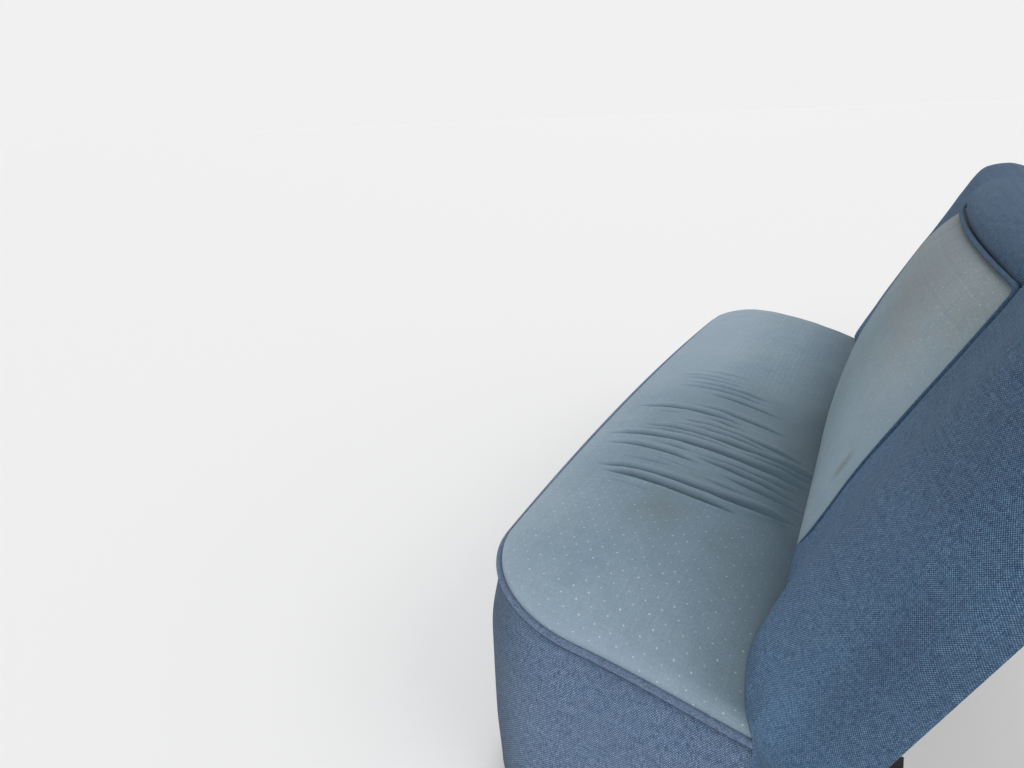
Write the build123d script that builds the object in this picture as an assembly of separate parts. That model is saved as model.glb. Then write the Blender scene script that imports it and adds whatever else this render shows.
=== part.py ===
from build123d import *
import os
from math import cos, pi, radians, sin

# Rear bench seat of a 1950s sedan: a sprung cushion and a sprung backrest, in millimetres.
# X is across the car (+X is the car's left), +Y is towards the rear, +Z is up.
# The origin is the middle of the cushion's four floor bolts, on the floor.

# Cushion, overall
cushion_width = 1480
cushion_depth = 500
front_height = 330            # floor to the welt at the front edge
welt_slope = 0.2              # drop of the welt for each millimetre towards the rear
front_bow = 24                # how far the front edge stands forward in the middle
front_corner = 160            # plan radius of the front corners
rear_corner = 60
crown = 50                    # rise of the padded top over its welt, in the middle
end_fall = 100                # drop, from the middle to the ends, of the arch that rounds the top's ends
arch_clear = 33               # height of that arch over the crown, in the middle

# Backrest, overall
recline = 26                  # degrees from upright
face_length = 520             # from the cushion's top up the face
back_overlap = 125            # depth of cushion under the backrest
back_tuck = 70                # how far the backrest reaches down below the cushion's top
wing_overhang = 40            # backrest past each end of the cushion
back_thickness = 114          # from the seam level back to the rear of the frame
back_corners = (60, 80)       # outline radii of the backrest, lower and upper
crown_left = 0.6              # share of the cushion's crown that is left where the face meets it

# Face of the backrest: an insert that bulges between two wings, under a roll
wing_width = 390
roll_height = 80
insert_bulge = 66             # face of the insert in front of the seam level
insert_tuck = 12              # the same where its lower edge is pulled in on the cushion
tuck_rise = 150               # height over which it swells from there
seam_depth = -5               # level of the seams between insert and wings
wing_bulge = 9
wing_end = 50                 # width over which a wing's end turns back

# Points of the backrest's profile, as levels in front of the seams and, in pairs, first the distance
# in from the top edge or the end
face_foot = 34                # at the lowest edge
fullest = 0.4                 # share of the face's length at which it bulges most
roll_start = (65, 44)
roll_turn = (12, 4)
roll_back = -60               # where the roll meets the top edge
end_turn = (12, -33)
end_back = 0.7                # share of the thickness over which an end is rounded

# Covers and padding
cover = 14                    # tweed with its felt
welt_size = 9
welt_proud = 3
hessian = 3
pad_depth = 28                # welt line down to the underside of the cushion's hessian
back_pad = 30                 # seam level down to the back of the backrest's padding
soft_gap = 0.3                # clearance between soft pieces and their neighbours

# Frame steel
steel = 3
rail_height = 30
flange = 28
slat_width = 25
slat_thickness = 2.5
wire = 4
coil_gap = 0.6                # clearance at a coil's two seats
wire_inset = 26               # border wires in from the inside of the covers
back_edge = 45                # padded edge round the backrest's frame, sides and bottom
back_top_edge = 55

# Floor bolts through the cushion's frame, midway between two slats
bolt_radius = 4.5
bolt_inset = 34               # in from the front and the rear of the cover
bolt_pitches = 2.5            # out from the middle, in pitches of the coil columns

# Legs and hooks of the backrest
leg_spacing = 900
leg_width = 40
leg_lap = 65                  # how far a leg runs up behind the frame
foot_length = 46
hook_width = 32
hook_pitch = 520
hook_throat = 22
hook_lip = 26

# Coil springs. Columns across, rows, outer column in from the side, outer row in from the edge,
# turns, radius at the base, radius at the waist, radius at the top
cushion_coils = (9, 3, 160, 100, 3.5, 44, 30, 48)
back_coils = (8, 3, 160, 70, 2.5, 40, 29, 42)
steps_per_turn = 7

big = 4000                    # larger than the seat, for cutting shapes
every = (-big, big)
front_y = -cushion_depth / 2
rear_y = cushion_depth / 2
half_width = cushion_width / 2
half_back = half_width + wing_overhang
inside = cover + soft_gap     # inset of the frame and the sacking from the outside of the cushion's cover


# Shared shapes

def box(x, y, z):
    """Box between pairs of limits."""
    return Pos(x[0], y[0], z[0]) * Box(x[1] - x[0], y[1] - y[0], z[1] - z[0], align=Align.MIN)


def side_extrusion(*outline):
    """Very wide solid from the edges of a closed outline in the YZ plane."""
    return extrude(make_face(outline), amount=big / 2, dir=(1, 0, 0), both=True)


def places(count, low, high):
    """Evenly spaced places from low to high."""
    return [low + (high - low) * index / (count - 1) for index in range(count)]


def columns_between(coils, low, high):
    return places(coils[0], low + coils[2], high - coils[2])


def rows_between(coils, low, high):
    return places(coils[1], low + coils[3], high - coils[3])


def across(x, width, y, z):
    """Flat bar of a given width round the place x, between limits in Y and Z."""
    return box((x - width / 2, x + width / 2), y, z)


def coil_spring(y, base, top, turns, radii):
    """Waisted open coil whose end turns lie flat on the base and in the plane top(y)."""
    steps = int(turns * steps_per_turn)
    flat = 0.75 / turns
    half = wire / 2
    rings = []
    for step in range(steps + 1):
        share = step / steps
        angle = 2 * pi * step / steps_per_turn
        end_radius = radii[0] if share < 0.5 else radii[2]
        radius = radii[1] + (end_radius - radii[1]) * (2 * share - 1) ** 2
        climb = min(max((share - flat) / (1 - 2 * flat), 0), 1)
        height = base + (top(y + radius * sin(angle)) - base) * climb
        corners = ((radius - half, height - half), (radius + half, height - half),
                   (radius + half, height + half), (radius - half, height + half))
        rings.append([(r * cos(angle), y + r * sin(angle), z) for r, z in corners])
    outlines = [rings[0], rings[-1]]
    for here, ahead in zip(rings, rings[1:]):
        for side in range(4):
            a, b, c, d = here[side], here[side - 1], ahead[side - 1], ahead[side]
            upright = side % 2 == 0
            outlines += [(a, b, c, d)] if upright else [(a, b, c), (a, c, d)]
    return Solid(Shell([Face(Wire.make_polygon(outline)) for outline in outlines]))


def coil_field(coils, columns, rows, base, top):
    """One coil at every column and row, as solids that stand apart."""
    turns, *radii = coils[4:]
    return [Pos(x, 0, 0) * coil for coil in [coil_spring(row, base, top, turns, radii) for row in rows]
            for x in columns]


# Cushion

def welt_z(y):
    """Height of the cushion's welt plane at y."""
    return front_height - welt_slope * (y - front_y)


def plan_outline(inset):
    """Plan face of the cushion, moved inwards by inset."""
    side_y = front_y + front_bow
    edge = ThreePointArc((-half_width, side_y), (0, front_y), (half_width, side_y))
    sides = Polyline((half_width, side_y), (half_width, rear_y), (-half_width, rear_y), (-half_width, side_y))
    face = make_face([edge, sides])
    face = fillet(face.vertices().sort_by(Axis.Y)[:2], front_corner)
    face = fillet([v for v in face.vertices() if v.Y > rear_y - 1], rear_corner)
    return offset(face, amount=-inset) if inset else face


def plan_block(inset, height=big / 4):
    return extrude(plan_outline(inset), amount=height)


def plan_band(outer, inner, height=big / 4):
    """Band that follows the plan outline between two insets."""
    return plan_block(outer, height) - plan_block(inner, height)


def welt_slab(low, high):
    """The space between two planes parallel to the welt plane."""
    ends = [(-big / 4, low), (big / 4, low), (big / 4, high), (-big / 4, high)]
    corners = [(0, y, welt_z(y) + rise) for y, rise in ends]
    return side_extrusion(Polyline(*corners, close=True))


def cushion_body(grow=0.0):
    """Whole outer form of the cushion: the plan outline under a crowned top."""
    margin = 20
    low, high = front_y - margin, rear_y + margin
    side = half_width + margin
    middle = (0, 0, welt_z(0) + crown + grow)
    top = ThreePointArc((0, low, welt_z(front_y) + grow), middle, (0, high, welt_z(rear_y) + grow))
    base = Polyline(top @ 1, (0, high, -margin), (0, low, -margin), top @ 0)
    peak = front_height + crown + arch_clear + grow
    arch = ThreePointArc((-side, 0, peak - end_fall), (0, 0, peak), (side, 0, peak - end_fall))
    ends = Polyline(arch @ 1, (side, 0, -margin), (-side, 0, -margin), arch @ 0)
    vault = extrude(make_face([arch, ends]), amount=big / 2, dir=(0, 1, 0), both=True)
    return Pos(0, 0, -1) * plan_block(-grow) & side_extrusion(top, base) & vault


def cushion_cover():
    """Front and sides, rear facing, padded top and the welt that joins them."""
    front_part = box(every, (-big, rear_y - rear_corner), every)
    rear_part = box(every, (rear_y - rear_corner, big), every)
    half_welt = welt_size / 2 + soft_gap
    wall = plan_band(0, cover) & welt_slab(-big, -half_welt)
    core = plan_block(inside) & welt_slab(hessian - pad_depth, half_welt + 1)
    padding = cushion_body() & plan_block(welt_proud) & welt_slab(half_welt, big)
    welt = plan_band(-welt_proud, welt_size - welt_proud) & welt_slab(-welt_size / 2, welt_size / 2)
    return {
        "cushion_boxing": wall & front_part,
        "cushion_rear_facing": wall & rear_part,
        "cushion_pad": core + padding,
        "cushion_welt": welt & front_part,
    }


cushion_columns = columns_between(cushion_coils, -half_width, half_width)
cushion_rows = rows_between(cushion_coils, front_y, rear_y)


def cushion_frame():
    """Angle steel rails that meet end to end, with the four bolt holes in their flanges."""
    angle = plan_band(inside, inside + steel, rail_height) + plan_band(inside, inside + flange, steel)
    bolt_x = bolt_pitches * (cushion_columns[1] - cushion_columns[0])
    for x in (-bolt_x, bolt_x):
        for y in (front_y + bolt_inset, rear_y - bolt_inset):
            angle -= Pos(x, y, 0) * Cylinder(bolt_radius, 4 * steel)
    front_end = front_y + front_bow + front_corner
    rear_end = rear_y - rear_corner
    return {
        "cushion_front_rail": angle & box(every, (-big, front_end), every),
        "cushion_rear_rail": angle & box(every, (rear_end, big), every),
        "cushion_side_rail_left": angle & box((0, big), (front_end, rear_end), every),
        "cushion_side_rail_right": angle & box((-big, 0), (front_end, rear_end), every),
    }


def cushion_springing():
    """Slats, coils, the wires over them and the hessian."""
    slat_top = steel + slat_thickness
    room = plan_block(inside + steel + soft_gap)
    wire_edge = inside + wire_inset
    wire_slab = welt_slab(-pad_depth - wire, -pad_depth)
    within = plan_block(wire_edge + wire) & wire_slab
    base = slat_top + coil_gap / 2 + wire / 2
    drop = pad_depth + 1.5 * wire + coil_gap
    return {
        "cushion_slats": [across(x, slat_width, every, (steel, slat_top)) & room for x in cushion_columns],
        "cushion_coil_springs": coil_field(cushion_coils, cushion_columns, cushion_rows, base,
                                           lambda y: welt_z(y) - drop),
        "cushion_border_wire": plan_band(wire_edge, wire_edge + wire) & wire_slab,
        "cushion_tie_wires": [box(every, (row - wire / 2, row + wire / 2), (0, big)) & within
                              for row in cushion_rows],
        "cushion_hessian": plan_block(inside) & welt_slab(-pad_depth, hessian - pad_depth),
    }


# Backrest, drawn upright with its face towards +Z: X across, Y up the recline, Z out of the face.
# Y is zero where the face meets the cushion's top, and Z is zero at the level of the seams.

seam_y = rear_y - back_overlap
seam_z = welt_z(seam_y) + crown_left * crown
upward = Vector(0, sin(radians(recline)), cos(radians(recline)))
outward = Vector(0, -cos(radians(recline)), sin(radians(recline)))
back_plane = Plane((0, seam_y, seam_z), x_dir=(1, 0, 0), z_dir=outward)
frame_half = half_back - back_edge
frame_low = back_edge
frame_high = face_length - back_top_edge
insert_half = half_back - wing_width
back_columns = columns_between(back_coils, -frame_half, frame_half)
back_rows = rows_between(back_coils, frame_low, frame_high)


def back_block(inset, low, high):
    """Block inside the backrest's frame opening, between two levels."""
    return box((inset - frame_half, frame_half - inset), (frame_low + inset, frame_high - inset), (low, high))


def back_band(outer, inner, low, high):
    return back_block(outer, low, high) - back_block(inner, low - 1, high + 1)


def back_section(grow):
    """Plan section: the insert's arc, a wing's arc and rounded end at each side, and the flat rear."""
    rear, flat = -back_thickness, -end_back * back_thickness
    side, turn = half_back + grow, half_back - wing_end
    seam = (insert_half, 0, seam_depth + grow)
    insert = ThreePointArc((-insert_half, 0, seam_depth + grow), (0, 0, insert_bulge + grow), seam)
    wing = ThreePointArc(seam, ((insert_half + turn) / 2, 0, wing_bulge + grow), (turn, 0, seam_depth + grow))
    end = ThreePointArc(wing @ 1, (side - end_turn[0], 0, end_turn[1] + grow), (side, 0, flat))
    tail = Polyline(end @ 1, (side, 0, rear), (-side, 0, rear), (-side, 0, flat))
    other = [mirror(edge, about=Plane.YZ) for edge in (wing, end)]
    return extrude(make_face([insert, wing, end, tail, *other]), amount=big / 2, dir=(0, 1, 0), both=True)


def back_body(grow=0.0):
    """Whole outer form of the backrest: side profile, plan section and outline together."""
    rear, low, top = -back_thickness, -back_tuck, face_length + grow
    middle = (0, fullest * face_length, insert_bulge + grow)
    start = (0, face_length - roll_start[0], roll_start[1] + grow)
    face = ThreePointArc((0, low, face_foot + grow), middle, start)
    roll = ThreePointArc(start, (0, top - roll_turn[0], roll_turn[1] + grow), (0, top, roll_back))
    shell = Polyline(roll @ 1, (0, top, rear), (0, low, rear), face @ 0)
    outline = Pos(0, (face_length - back_tuck) / 2)
    outline *= Rectangle(2 * (half_back + grow), face_length + back_tuck + 2 * grow)
    outline = fillet(outline.vertices().sort_by(Axis.Y)[:2], back_corners[0])
    outline = fillet([v for v in outline.vertices() if v.Y > face_length - 1], back_corners[1])
    front = extrude(outline, amount=big / 2, both=True)
    return side_extrusion(face, roll, shell) & back_section(grow) & front


def pulled_in_edge():
    """What the lower edge of the insert loses to its pull-in on the cushion."""
    curl = ThreePointArc((0, -back_tuck, -back_pad), (0, 0, insert_tuck), (0, tuck_rise, insert_bulge))
    return side_extrusion(curl, Polyline(curl @ 1, (0, tuck_rise, big), (0, -big, big), (0, -big, -back_pad), curl @ 0))


def back_cover():
    """Insert, wings and roll round the frame opening, and the welt on their seams."""
    roll_seam = face_length - roll_height
    shell = back_body() - back_block(0, -2 * back_thickness, -back_pad)
    middle = (-insert_half, insert_half)
    pieces = {
        "back_insert": (shell & box(middle, (-big, roll_seam), every)) - pulled_in_edge(),
        "back_top_roll": shell & box(middle, (roll_seam, big), every),
        "back_wing_left": shell & box((insert_half, big), every, every),
        "back_wing_right": shell & box((-big, -insert_half), every, every),
    }
    skin = (back_body(welt_size / 2) - back_body(soft_gap)) & box(every, every, (-back_pad, big))
    half = welt_size / 2
    seams = box(middle, (roll_seam - half, roll_seam + half), every)
    for x in middle:
        seams += across(x, welt_size, (-back_tuck, roll_seam + half), every)
    pieces["back_welt"] = skin & seams
    return pieces


def back_frame():
    """Angle steel rails round the backrest's opening."""
    rear = -back_thickness
    upright = (frame_low + soft_gap + flange, frame_high - soft_gap - flange)
    angle = back_band(soft_gap, soft_gap + steel, rear, rear + rail_height)
    angle += back_band(soft_gap, soft_gap + flange, rear, rear + steel)
    return {
        "back_top_rail": angle & box(every, (upright[1], big), every),
        "back_bottom_rail": angle & box(every, (-big, upright[0]), every),
        "back_side_rail_left": angle & box((0, big), upright, every),
        "back_side_rail_right": angle & box((-big, 0), upright, every),
    }


def back_springing():
    """Slats, coils, the wires over them and the hessian."""
    slat_levels = (steel - back_thickness, steel + slat_thickness - back_thickness)
    deck = -back_pad - hessian
    room = back_block(steel + 2 * soft_gap, *slat_levels)
    within = back_block(wire_inset + wire, deck - wire, deck)
    base = slat_levels[1] + coil_gap / 2 + wire / 2
    top = deck - 1.5 * wire - coil_gap
    return {
        "back_slats": [across(x, slat_width, every, every) & room for x in back_columns],
        "back_coil_springs": coil_field(back_coils, back_columns, back_rows, base, lambda y: top),
        "back_border_wire": back_band(wire_inset, wire_inset + wire, deck - wire, deck),
        "back_tie_wires": [box(every, (row - wire / 2, row + wire / 2), every) & within for row in back_rows],
        "back_hessian": back_block(soft_gap, deck, -back_pad),
    }


def bent_strip(path, x, width):
    """Steel strip of a given width bent along a path of (y, z) points."""
    profile = Plane.YZ * trace(Polyline(*path), steel)
    return Pos(x, 0, 0) * extrude(profile, amount=width / 2, both=True)


def shelf_hooks():
    """Strips behind the top rail whose lips turn down over the shelf's edge."""
    level = -back_thickness - steel / 2
    crest = frame_high + flange / 2
    path = [(frame_high - flange, level), (crest, level), (crest, level - hook_throat),
            (crest - hook_lip, level - hook_throat)]
    return [bent_strip(path, x, hook_width) for x in (-hook_pitch, 0, hook_pitch)]


def floor_legs():
    """Strips behind the bottom rail that drop to bolted feet, drawn in the seat's own axes."""
    behind = Vector(0, seam_y, seam_z) - outward * (back_thickness + steel / 2)
    leg_y = rear_y + soft_gap + steel / 2
    knee = behind + upward * ((leg_y - behind.Y) / upward.Y)
    end = behind + upward * (frame_low + leg_lap)
    path = [(leg_y + foot_length, steel / 2), (leg_y, steel / 2), (knee.Y, knee.Z), (end.Y, end.Z)]
    hole = Cylinder(bolt_radius, 4 * steel)
    return [bent_strip(path, x, leg_width) - Pos(x, leg_y + foot_length / 2, 0) * hole
            for x in (-leg_spacing / 2, leg_spacing / 2)]


def back_pieces():
    """Backrest pieces in their reclined place, with the covers hollowed where they lie on the cushion."""
    drawn = {**back_cover(), **back_frame(), **back_springing(), "back_shelf_hooks": shelf_hooks()}
    lean = back_plane.location
    pieces = {name: [lean * part for part in parts_of(shape)] for name, shape in drawn.items()}
    rim = plan_band(-welt_proud - soft_gap, welt_size) & welt_slab(-big, welt_size / 2 + soft_gap)
    seat = cushion_body(soft_gap) + rim
    for name in ("back_insert", "back_wing_left", "back_wing_right", "back_welt"):
        pieces[name] = [part - seat for part in pieces[name]]
    pieces["back_floor_legs"] = floor_legs()
    return pieces


def parts_of(shape):
    return shape if isinstance(shape, list) else [shape]


def write(name, shape):
    solids = [solid for part in parts_of(shape) for solid in part.solids()]
    export_step(Compound(label=name, children=solids), f"parts/{name}.step")


os.makedirs("parts", exist_ok=True)
for name, shape in {**cushion_cover(), **cushion_frame(), **cushion_springing(), **back_pieces()}.items():
    write(name, shape)
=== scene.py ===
from functools import partialmethod
from math import cos, pi, radians, sin

import bpy
import numpy as np
from mathutils import Euler, Matrix, Vector
from mathutils.geometry import tessellate_polygon


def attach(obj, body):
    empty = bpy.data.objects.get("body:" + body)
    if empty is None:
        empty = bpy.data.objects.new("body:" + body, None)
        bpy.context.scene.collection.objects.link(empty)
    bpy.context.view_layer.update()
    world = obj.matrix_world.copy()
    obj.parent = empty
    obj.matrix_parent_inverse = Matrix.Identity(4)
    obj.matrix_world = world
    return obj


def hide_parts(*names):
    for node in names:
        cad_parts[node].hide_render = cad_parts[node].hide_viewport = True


# Rear bench seat of a 1950s sedan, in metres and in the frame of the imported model: X across the car
# (+X is its left), Y towards its rear, Z up from the floor.

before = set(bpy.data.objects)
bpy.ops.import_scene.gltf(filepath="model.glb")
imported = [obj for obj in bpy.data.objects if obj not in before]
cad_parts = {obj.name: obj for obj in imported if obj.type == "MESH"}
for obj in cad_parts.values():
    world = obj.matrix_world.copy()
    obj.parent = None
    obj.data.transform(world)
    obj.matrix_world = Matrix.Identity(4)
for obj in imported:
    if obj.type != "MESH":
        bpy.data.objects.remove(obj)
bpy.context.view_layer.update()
scene = bpy.context.scene

# Plan outline of the cushion, and the height of the welt's seam with its fall to the rear
HALF = 0.74
DEEP = 0.25
BOW = 0.024
FRONT_RADIUS = 0.16
REAR_RADIUS = 0.06
BOW_RADIUS = (HALF ** 2 + BOW ** 2) / (2 * BOW)
CORNER_X = HALF - FRONT_RADIUS
CORNER_Y = BOW_RADIUS - DEEP - ((BOW_RADIUS - FRONT_RADIUS) ** 2 - CORNER_X ** 2) ** 0.5
BOW_END = CORNER_X * BOW_RADIUS / (BOW_RADIUS - FRONT_RADIUS)
REAR_FACE = DEEP - REAR_RADIUS
FRONT_HEIGHT = 0.330
FALL = 0.2

# Backrest: X across, V up its recline from the cushion, N out of its face
LEAN = radians(26)
UP = np.array([0, sin(LEAN), cos(LEAN)])
OUT = np.array([0, -cos(LEAN), sin(LEAN)])
FOOT = np.array([0, 0.125, 0.285])
BACK_HALF = 0.78
BACK_LOW = -0.07
BACK_HIGH = 0.52
LOW_RADIUS = 0.06
HIGH_RADIUS = 0.08
SEAM_X = 0.39
SEAM_V = 0.44
EDGE_N = -0.080
REAR_N = -0.114
OPENING = (0.735, 0.045, 0.465)      # half width, bottom and top of the frame's opening
DECK = -0.030                        # rear of the padding inside the opening
ROLL_CREST = 0.039


# Meshes

def add_object(name, data):
    obj = bpy.data.objects.new(name, data)
    scene.collection.objects.link(obj)
    return obj


def new_object(name, points, faces, uvs=None):
    """Smooth-shaded object from points and faces, with the cloth's UVs where given."""
    mesh = bpy.data.meshes.new(name)
    mesh.from_pydata([tuple(p) for p in points], [], faces)
    if uvs is not None:
        layer = mesh.uv_layers.new(name="cloth")
        layer.data.foreach_set("uv", np.asarray(uvs, dtype=np.float32).ravel())
    mesh.polygons.foreach_set("use_smooth", [True] * len(mesh.polygons))
    mesh.update()
    return add_object(name, mesh)


def points_of(obj):
    points = np.empty(3 * len(obj.data.vertices), dtype=np.float32)
    obj.data.vertices.foreach_get("co", points)
    return points.reshape(-1, 3).astype(float)


def set_points(obj, points):
    obj.data.vertices.foreach_set("co", np.asarray(points, dtype=np.float32).ravel())
    obj.data.update()


def with_modifiers(obj):
    return obj.evaluated_get(bpy.context.evaluated_depsgraph_get())


def subdivide(obj):
    """Smooths a piece with one round of subdivision, kept in its mesh."""
    obj.modifiers.new("smooth", "SUBSURF").levels = 1
    mesh = bpy.data.meshes.new_from_object(with_modifiers(obj))
    obj.modifiers.clear()
    obj.data = mesh


def sharpen(obj, angle=55):
    """Keeps edges crisp in the shading where faces meet at more than an angle in degrees."""
    obj.data.set_sharp_from_angle(angle=radians(angle))


def lay_cloth(obj, u, v):
    """Gives each point of a piece its place on the flat cloth, in metres."""
    corners = np.empty(len(obj.data.loops), dtype=np.int32)
    obj.data.loops.foreach_get("vertex_index", corners)
    layer = obj.data.uv_layers.get("cloth") or obj.data.uv_layers.new(name="cloth")
    layer.data.foreach_set("uv", np.stack([u[corners], v[corners]], axis=-1).astype(np.float32).ravel())


def unit(vectors):
    return vectors / np.linalg.norm(vectors, axis=-1, keepdims=True)


def between(low, high, shares):
    """Grid of values from low to high of each column, at some shares of the way."""
    return low[:, None] + (high - low)[:, None] * shares[None]


def side_by_side(*grids):
    return np.concatenate(grids, axis=1)


def travelled(path):
    """Length along a path up to each of its points."""
    return np.r_[0, np.cumsum(np.linalg.norm(np.diff(path, axis=0), axis=1))]


def arc_points(x, y, radius, angles):
    return [(x + radius * cos(angle), y + radius * sin(angle)) for angle in angles]


def mirrored(points):
    """Points on the other side of the middle, in the opposite order."""
    return [(-x, *rest) for x, *rest in reversed(points)]


def outward(distance, x, y, step=0.0005):
    """Unit direction out of an outline, from its distance function."""
    dx = distance(x - step, y) - distance(x + step, y)
    dy = distance(x, y - step) - distance(x, y + step)
    size = np.maximum(np.hypot(dx, dy), 1e-9)
    return dx / size, dy / size


def loft(name, sections, reference=0, closed=False):
    """Closed skin through sections (stations x points x 3), each a closed loop, with lengths as its UVs.
    Lengths round a section start at its reference point. A closed one runs on into its first station."""
    stations, count, _ = sections.shape
    along = travelled(sections[:, reference])
    along -= along[-1] / 2
    looped = side_by_side(sections, sections[:, :1])
    around = np.cumsum(np.linalg.norm(np.diff(looped, axis=1), axis=2), axis=1)
    around = side_by_side(np.zeros((stations, 1)), around)
    around -= around[:, reference:reference + 1]
    faces, uvs = [], []
    spans = stations if closed else stations - 1
    for i in range(spans):
        j = (i + 1) % stations
        for k in range(count):
            m = (k + 1) % count
            faces.append((i * count + k, j * count + k, j * count + m, i * count + m))
            u, w = along[i], along[i] + (along[1] - along[0]) if j == 0 else along[j]
            uvs += [(u, around[i, k]), (w, around[j, k]), (w, around[j, k + 1]), (u, around[i, k + 1])]
    if not closed:
        for i, way in ((0, 1), (stations - 1, -1)):
            middle = sections[i].mean(axis=0)
            for corners in tessellate_polygon([[Vector(point) for point in sections[i]]]):
                corners = sorted(corners)[::way]
                faces.append([i * count + k for k in corners])
                uvs += [tuple((sections[i, k] - middle)[1:]) for k in corners]
    return new_object(name, sections.reshape(-1, 3), faces, uvs)


def tube(path, radius, sides=8, closed=False):
    """Sections of a round tube along a path, turned as little as possible from one to the next."""
    path = np.asarray(path, dtype=float)
    ahead = np.roll(path, -1, axis=0) - np.roll(path, 1, axis=0)
    if not closed:
        ahead[0] = path[1] - path[0]
        ahead[-1] = path[-1] - path[-2]
    angles = 2 * pi * np.arange(sides) / sides
    not_along = [0.1, 0.2, 1.0]
    side = np.cross(unit(ahead[0]), not_along)
    sections = []
    for point, way in zip(path, unit(ahead)):
        side = unit(side - way * (side @ way))
        ring = np.outer(np.cos(angles), side) + np.outer(np.sin(angles), np.cross(way, side))
        sections.append(point + radius * ring)
    return np.array(sections)


def joined(name, lofts):
    """One object from several section stacks."""
    parts = [loft(name, sections) for sections in lofts]
    with bpy.context.temp_override(active_object=parts[0], selected_editable_objects=parts):
        bpy.ops.object.join()
    parts[0].name = name
    return parts[0]


def ease(low, high, value):
    """From 0 at low to 1 at high, with a soft start and end. Low may be the larger."""
    share = np.clip((value - low) / (high - low), 0, 1)
    return share * share * (3 - 2 * share)


def wobble(x, y, scale, seed):
    """Smooth noise from -1 to 1, from a few waves in seeded directions."""
    waves, swing = 7, 1.6
    rng = np.random.default_rng(seed)
    total = np.zeros(np.broadcast(x, y).shape)
    for _ in range(waves):
        angle, phase, stretch = rng.uniform(0, pi), rng.uniform(0, 2 * pi), rng.uniform(0.6, 1.6)
        total += np.sin((x * cos(angle) + y * sin(angle)) * 2 * pi * stretch / scale + phase)
    return total / waves * swing


def clustered(low, high, step, edge, fine):
    """Places from low to high at a step that shrinks to fine within edge of both ends."""
    places = [low]
    while places[-1] < high:
        room = min(places[-1] - low, high - places[-1])
        places.append(places[-1] + fine + (step - fine) * min(max(room / edge, 0), 1))
    places = np.array(places)
    return low + (places - low) * (high - low) / (places[-1] - low)


def inflate(obj, loose, cap):
    """Cloth under pressure, pinned where loose is false; no point moves further than cap."""
    start = points_of(obj)
    group = obj.vertex_groups.new(name="pinned")
    group.add([int(i) for i in np.flatnonzero(~loose)], 1.0, "REPLACE")
    cloth = obj.modifiers.new("cloth", "CLOTH")
    for name, value in (("quality", 4), ("mass", 0.3), ("vertex_group_mass", "pinned"),
                        ("tension_stiffness", 12), ("compression_stiffness", 12), ("shear_stiffness", 5),
                        ("bending_stiffness", 2.0), ("use_pressure", True), ("uniform_pressure_force", 4.0)):
        setattr(cloth.settings, name, value)
    cloth.settings.effector_weights.gravity = 0
    cloth.collision_settings.use_collision = False
    last_frame = 20
    for number in range(1, last_frame + 1):
        scene.frame_set(number)
    move = points_of(with_modifiers(obj)) - start
    far = np.linalg.norm(move, axis=1, keepdims=True)
    obj.modifiers.clear()
    obj.vertex_groups.clear()
    scene.frame_set(1)
    set_points(obj, start + move * np.minimum(1, cap / np.maximum(far, 1e-9)))


def loose_points(sections, rows):
    """True for the points in a face's rows that are clear of its edges."""
    loose = np.zeros(sections.shape[:2], dtype=bool)
    loose[2:-2, 2:rows - 2] = True
    return loose.ravel()


# Cushion

def upright(x, y, z):
    """Points of the cushion, where lean gives those of the backrest."""
    return np.stack([x, y, z], axis=-1)


def welt_z(y):
    """Height of the welt's seam where nothing presses on it."""
    return FRONT_HEIGHT - FALL * (y + DEEP)


def arc(radius, along):
    """Height of a quarter circle over a point along its base."""
    return np.sqrt(np.maximum(radius ** 2 - along ** 2, 0))


def rounded(near, x, y, centre_x, centre_y, radius):
    """Distance inwards from an outline's sides, or from its rounded corner beyond the corner's centre."""
    corner = (x > centre_x) & (y > centre_y)
    return np.where(corner, radius - np.hypot(x - centre_x, y - centre_y), near)


def front_y(x, inset=0.0):
    """Front edge of the plan outline at x."""
    x = np.minimum(np.abs(x), HALF - inset)
    bow = BOW_RADIUS - DEEP - arc(BOW_RADIUS - inset, x)
    corner = CORNER_Y - arc(FRONT_RADIUS - inset, np.maximum(x - CORNER_X, 0))
    return np.where(x > BOW_END, corner, bow)


def rear_y(x, inset=0.0):
    """Rear edge of the plan outline at x."""
    beyond = np.minimum(np.abs(x), HALF - inset) - (HALF - REAR_RADIUS)
    return REAR_FACE + arc(REAR_RADIUS - inset, np.maximum(beyond, 0))


def plan_grid(columns, shares, inset):
    """Grid of x and y over the plan outline less an inset, in columns from its front edge to its rear."""
    x = np.repeat(columns[:, None], len(shares), axis=1)
    return x, between(front_y(columns, inset), rear_y(columns, inset), shares)


def edge_distance(x, y):
    """Distance inwards from the plan outline."""
    x = np.abs(x)
    near = np.minimum(np.minimum(HALF - x, DEEP - y), BOW_RADIUS - np.hypot(x, y + DEEP - BOW_RADIUS))
    near = rounded(near, x, -y, CORNER_X, -CORNER_Y, FRONT_RADIUS)
    near = rounded(near, x, y, HALF - REAR_RADIUS, REAR_FACE, REAR_RADIUS)
    return np.maximum(near, 0)


def edge_z(x, y):
    """Height of the welt's seam, which is pressed down at the cushion's ends near the backrest."""
    pressed_down = 0.016
    return welt_z(y) - pressed_down * ease(0.60, 0.73, np.abs(x)) * ease(-0.06, 0.18, y)


def cushion_top(x, y):
    """Height of the padded top: a soft roll inside the welt, then a broad crown."""
    roll_width, roll_height, crown_height = 0.09, 0.024, 0.032
    middle_y, crown_reach, end_width = -0.02, 0.24, 0.14
    share = np.minimum(edge_distance(x, y) / roll_width, 1)
    roll = roll_height * (1 - (1 - share) ** 2.2) ** 0.8
    end = 1 - (1 - np.clip((HALF - np.abs(x)) / end_width, 0, 1)) ** 3
    return edge_z(x, y) + roll + crown_height * end * np.maximum(1 - ((y - middle_y) / crown_reach) ** 2, 0)


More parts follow.
